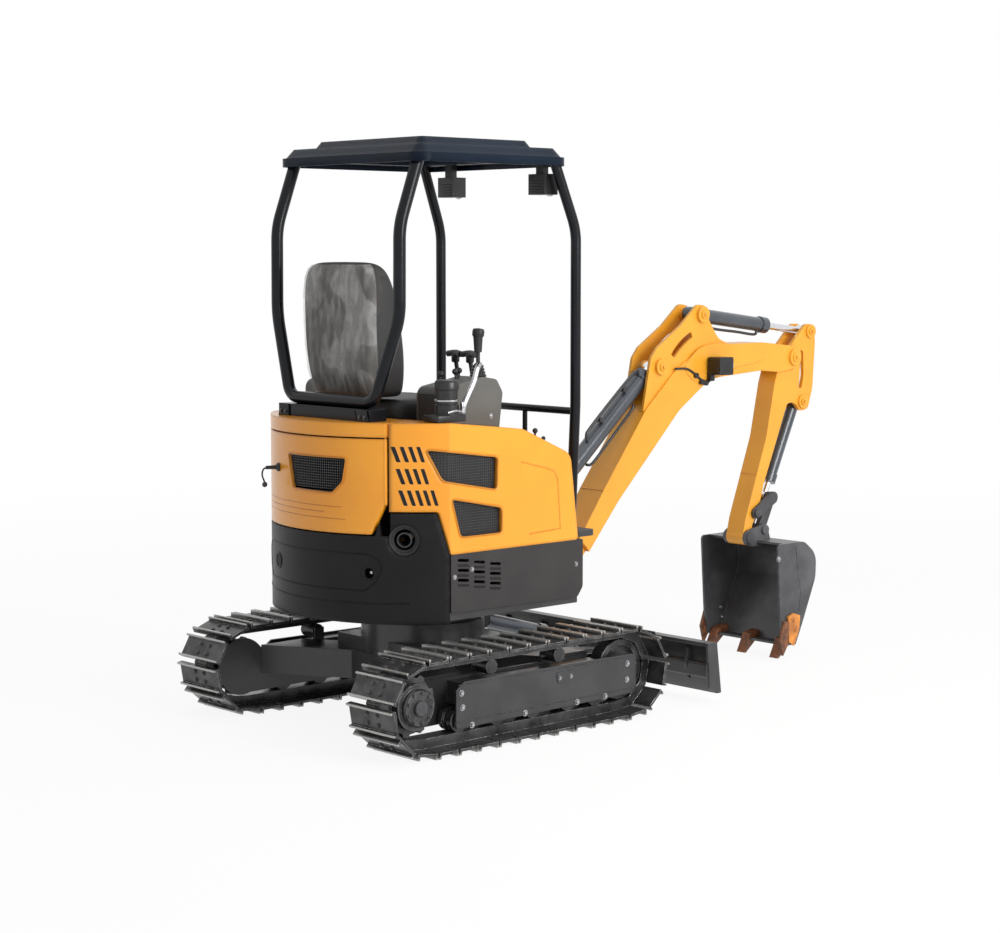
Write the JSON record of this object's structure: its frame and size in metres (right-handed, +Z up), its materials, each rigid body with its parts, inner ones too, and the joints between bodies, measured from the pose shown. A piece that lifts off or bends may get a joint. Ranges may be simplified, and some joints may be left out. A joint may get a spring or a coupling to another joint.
{
  "type": "mini excavator",
  "caption": "Compact tracked excavator with an open canopy, a swinging gooseneck boom, a toothed bucket and a front dozer blade.",
  "frame": {"origin": "on the ground under the middle of the bounding box, on the tracks' centre plane", "axes": "+X forward over the dozer blade and bucket, +Y to the operator's left, +Z up"},
  "size_m": [3.1296, 1.362, 2.3],
  "materials": {
    "body_paint": "gloss orange-yellow paint",
    "boom_paint": "gloss amber paint",
    "weight_paint": "dark grey paint on a casting",
    "frame_paint": "dark grey paint",
    "tube_paint": "black powder coat",
    "roof_plastic": "moulded, dark blue-grey",
    "console_plastic": "moulded, grey-green",
    "grip_plastic": "black",
    "seat_fabric": "grey-brown cloth",
    "floor_steel": "dark tread plate",
    "mesh": "black woven mesh",
    "engine": "plain block",
    "track_steel": "dark worn steel",
    "bearing_steel": "machined",
    "cylinder_paint": "dark blue-grey paint",
    "chrome_rod": "polished",
    "link_steel": "dark grey paint",
    "bucket_steel": "dark grey paint, worn",
    "tooth_steel": "rust-brown primer",
    "lamp_body": "black housing"
  },
  "bodies": {
    "undercarriage": {"car_body": "frame_paint", "track_frames": "frame_paint", "track_right": "track_steel", "track_left": "track_steel", "sprockets": "track_steel", "idlers": "track_steel", "rollers": "track_steel", "slew_ring": "bearing_steel"},
    "blade": {"blade": "frame_paint"},
    "blade_cylinder": {"blade_cylinder": "cylinder_paint"},
    "blade_rod": {"blade_rod": "chrome_rod"},
    "house": {"house_frame": "frame_paint", "counterweight": "weight_paint", "side_cover_right": "body_paint", "side_cover_left": "body_paint", "grille_screens": "mesh", "side_skirts": "weight_paint", "engine_hood": "body_paint", "engine_block": "engine", "floor_plate": "floor_steel", "seat_base": "weight_paint", "seat_cushion": "seat_fabric", "seat_back": "seat_fabric", "console_right": "console_plastic", "console_left": "console_plastic", "control_levers": "grip_plastic", "canopy_rear_loop": "tube_paint", "canopy_mount": "tube_paint", "canopy_front_frame": "tube_paint", "canopy_roof": "roof_plastic", "work_lamps": "lamp_body"},
    "rear_door": {"rear_door": "body_paint"},
    "swing_post": {"swing_post": "boom_paint"},
    "boom": {"boom": "boom_paint", "boom_lamp": "lamp_body"},
    "boom_cylinder": {"boom_cylinder": "cylinder_paint"},
    "boom_rod": {"boom_rod": "chrome_rod"},
    "arm": {"arm": "boom_paint"},
    "arm_cylinder": {"arm_cylinder": "cylinder_paint"},
    "arm_rod": {"arm_rod": "chrome_rod"},
    "bucket_cylinder": {"bucket_cylinder": "cylinder_paint"},
    "bucket_rod": {"bucket_rod": "chrome_rod"},
    "rocker": {"rocker": "link_steel"},
    "bucket_link": {"bucket_link": "link_steel"},
    "bucket": {"bucket": "bucket_steel", "bucket_teeth": "tooth_steel"}
  },
  "joints": [
    {"name": "slew", "type": "hinge", "parent": "undercarriage", "child": "house", "pos_m": [-0.83298, 0, 0.438], "axis": [0, 0, 1], "continuous": true},
    {"name": "boom_swing", "type": "hinge", "parent": "house", "child": "swing_post", "pos_m": [-0.23298, 0, 0.47], "axis": [0, 0, 1], "range_deg": [-50, 70]},
    {"name": "boom_lift", "type": "hinge", "parent": "swing_post", "child": "boom", "pos_m": [-0.06298, 0, 0.52], "axis": [0, -1, 0], "range_deg": [-85, 0]},
    {"name": "boom_cylinder_pivot", "type": "hinge", "parent": "swing_post", "child": "boom_cylinder", "pos_m": [-0.14299, 0, 0.81], "axis": [0, -1, 0], "range_deg": [-80.9, 0]},
    {"name": "boom_rod_slide", "type": "slide", "parent": "boom_cylinder", "child": "boom_rod", "axis": [0.7526, 0, 0.6585], "range_m": [0, 0.441]},
    {"name": "arm_crowd", "type": "hinge", "parent": "boom", "child": "arm", "pos_m": [1.38702, 0, 1.378], "axis": [0, 1, 0], "range_deg": [-78, 12]},
    {"name": "arm_cylinder_pivot", "type": "hinge", "parent": "boom", "child": "arm_cylinder", "pos_m": [0.75701, 0, 1.588], "axis": [0, 1, 0], "range_deg": [-4.5, 0.8]},
    {"name": "arm_rod_slide", "type": "slide", "parent": "arm_cylinder", "child": "arm_rod", "axis": [0.9928, 0, -0.1199], "range_m": [-0.227, 0.036]},
    {"name": "bucket_curl", "type": "hinge", "parent": "arm", "child": "bucket", "pos_m": [1.09702, 0, 0.552], "axis": [0, 1, 0], "range_deg": [-20, 105]},
    {"name": "rocker_pivot", "type": "hinge", "parent": "arm", "child": "rocker", "pos_m": [1.14501, 0, 0.662], "axis": [0, 1, 0], "range_deg": [-16.6, 86.6]},
    {"name": "bucket_link_pivot", "type": "hinge", "parent": "rocker", "child": "bucket_link", "pos_m": [1.26502, 0, 0.726], "axis": [0, 1, 0], "range_deg": [-63.7, 12.2]},
    {"name": "bucket_cylinder_pivot", "type": "hinge", "parent": "arm", "child": "bucket_cylinder", "pos_m": [1.47701, 0, 1.165], "axis": [0, 1, 0], "range_deg": [-5.1, 1.1]},
    {"name": "bucket_rod_slide", "type": "slide", "parent": "bucket_cylinder", "child": "bucket_rod", "axis": [-0.4349, 0, -0.9005], "range_m": [-0.033, 0.167]},
    {"name": "blade_lift", "type": "hinge", "parent": "undercarriage", "child": "blade", "pos_m": [-0.43299, 0, 0.205], "axis": [0, -1, 0], "range_deg": [-20, 20]},
    {"name": "blade_cylinder_pivot", "type": "hinge", "parent": "undercarriage", "child": "blade_cylinder", "pos_m": [-0.53299, 0, 0.352], "axis": [0, -1, 0], "range_deg": [-15.6, 15.6]},
    {"name": "blade_rod_slide", "type": "slide", "parent": "blade_cylinder", "child": "blade_rod", "axis": [0.9641, 0, -0.2657], "range_m": [-0.041, 0.041]},
    {"name": "rear_door_hinge", "type": "hinge", "parent": "house", "child": "rear_door", "pos_m": [-1.31444, -0.353, 1.164], "axis": [0, 0, 1], "range_deg": [0, 95]}
  ],
  "couplings": [
    {"joint": "boom_cylinder_pivot", "follows": "boom_lift", "ratio": 0.9498},
    {"joint": "boom_rod_slide", "follows": "boom_lift", "m_per_rad": -0.2963},
    {"joint": "arm_cylinder_pivot", "follows": "arm_crowd", "ratio": 0.0559},
    {"joint": "arm_rod_slide", "follows": "arm_crowd", "m_per_rad": 0.166},
    {"joint": "rocker_pivot", "follows": "bucket_curl", "ratio": 0.823},
    {"joint": "bucket_link_pivot", "follows": "bucket_curl", "ratio": -0.605},
    {"joint": "bucket_cylinder_pivot", "follows": "bucket_curl", "ratio": -0.0476},
    {"joint": "bucket_rod_slide", "follows": "bucket_curl", "m_per_rad": 0.0904},
    {"joint": "blade_cylinder_pivot", "follows": "blade_lift", "ratio": 0.7703},
    {"joint": "blade_rod_slide", "follows": "blade_lift", "m_per_rad": -0.1144}
  ]
}
